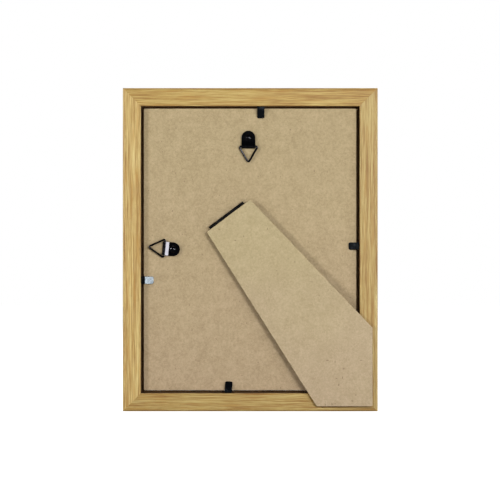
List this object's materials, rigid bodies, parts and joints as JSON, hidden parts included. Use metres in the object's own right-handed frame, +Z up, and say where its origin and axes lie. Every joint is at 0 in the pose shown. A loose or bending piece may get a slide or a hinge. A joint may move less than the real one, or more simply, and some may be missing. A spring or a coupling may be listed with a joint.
{
  "type": "easel back photo frame",
  "caption": "Upright photo frame of mitred oak-effect moulding: glass, insert sheet and fibreboard back held by bent tabs, with hanging rings and a hinged easel leg.",
  "frame": {"origin": "middle of the bottom rail's lower face, which is the face the frame stands on", "axes": "+Z up, +Y through the frame from its back to its front, +X to the right of someone looking at the back"},
  "size_m": [0.1794, 0.019, 0.2274],
  "materials": {
    "oak_foil": "satin oak-effect foil",
    "fibreboard": "matt, smooth face",
    "leg_fibreboard": "matt, smooth face",
    "clear_glass": "clear",
    "white_card": "plain matt",
    "black_steel": "gloss black",
    "bare_steel": "bright"
  },
  "bodies": {
    "frame": {"hinge_board_leaf": "black_steel", "hinge_pin": "black_steel", "hanger_top_rivet": "black_steel", "hanger_side_rivet": "black_steel", "glass_pane": "clear_glass", "insert_sheet": "white_card", "backing_board": "fibreboard", "corner_v_nails": "bare_steel", "tab_top_blade": "black_steel", "rail_top": "oak_foil", "tab_bottom_blade": "black_steel", "rail_bottom": "oak_foil", "tab_left_blade": "black_steel", "rail_left": "oak_foil", "tab_right_blade": "black_steel", "rail_right": "oak_foil"},
    "leg": {"easel_leg": "leg_fibreboard", "hinge_leg_leaf": "black_steel"},
    "top_hanger": {"hanger_top_strap": "black_steel"},
    "top_ring": {"hanger_top_ring": "black_steel"},
    "side_hanger": {"hanger_side_strap": "black_steel"},
    "side_ring": {"hanger_side_ring": "black_steel"},
    "top_tab": {"tab_top": "black_steel"},
    "bottom_tab": {"tab_bottom": "black_steel"},
    "left_tab": {"tab_left": "black_steel"},
    "right_tab": {"tab_right": "black_steel"}
  },
  "joints": [
    {"name": "leg_open", "type": "hinge", "parent": "frame", "child": "leg", "pos_m": [-0.01663, -0.00385, 0.13774], "axis": [-0.8, 0, -0.6], "range_deg": [0, 30]},
    {"name": "top_hanger_swivel", "type": "hinge", "parent": "frame", "child": "top_hanger", "pos_m": [-0.0013, -0.0024, 0.19255], "axis": [0, -1, 0], "range_deg": [-90, 90]},
    {"name": "top_ring_swing", "type": "hinge", "parent": "top_hanger", "child": "top_ring", "pos_m": [-0.0013, -0.00405, 0.18655], "axis": [-1, 0, 0], "range_deg": [-4, 125]},
    {"name": "side_hanger_swivel", "type": "hinge", "parent": "frame", "child": "side_hanger", "pos_m": [-0.05445, -0.0024, 0.114], "axis": [0, -1, 0], "range_deg": [-90, 90]},
    {"name": "side_ring_swing", "type": "hinge", "parent": "side_hanger", "child": "side_ring", "pos_m": [-0.06042, -0.00405, 0.1146], "axis": [0.0993, 0, 0.9951], "range_deg": [-4, 125]},
    {"name": "top_tab_bend", "type": "hinge", "parent": "frame", "child": "top_tab", "pos_m": [0.00739, -0.0048, 0.2141], "axis": [-1, 0, 0], "range_deg": [0, 85]},
    {"name": "bottom_tab_bend", "type": "hinge", "parent": "frame", "child": "bottom_tab", "pos_m": [-0.01551, -0.0048, 0.0133], "axis": [0.9976, 0, -0.0698], "range_deg": [0, 85]},
    {"name": "left_tab_bend", "type": "hinge", "parent": "frame", "child": "left_tab", "pos_m": [-0.0764, -0.0048, 0.09228], "axis": [-0.0175, 0, -0.9998], "range_deg": [0, 85]},
    {"name": "right_tab_bend", "type": "hinge", "parent": "frame", "child": "right_tab", "pos_m": [0.0764, -0.0048, 0.11632], "axis": [-0.0175, 0, 0.9998], "range_deg": [0, 85]}
  ]
}
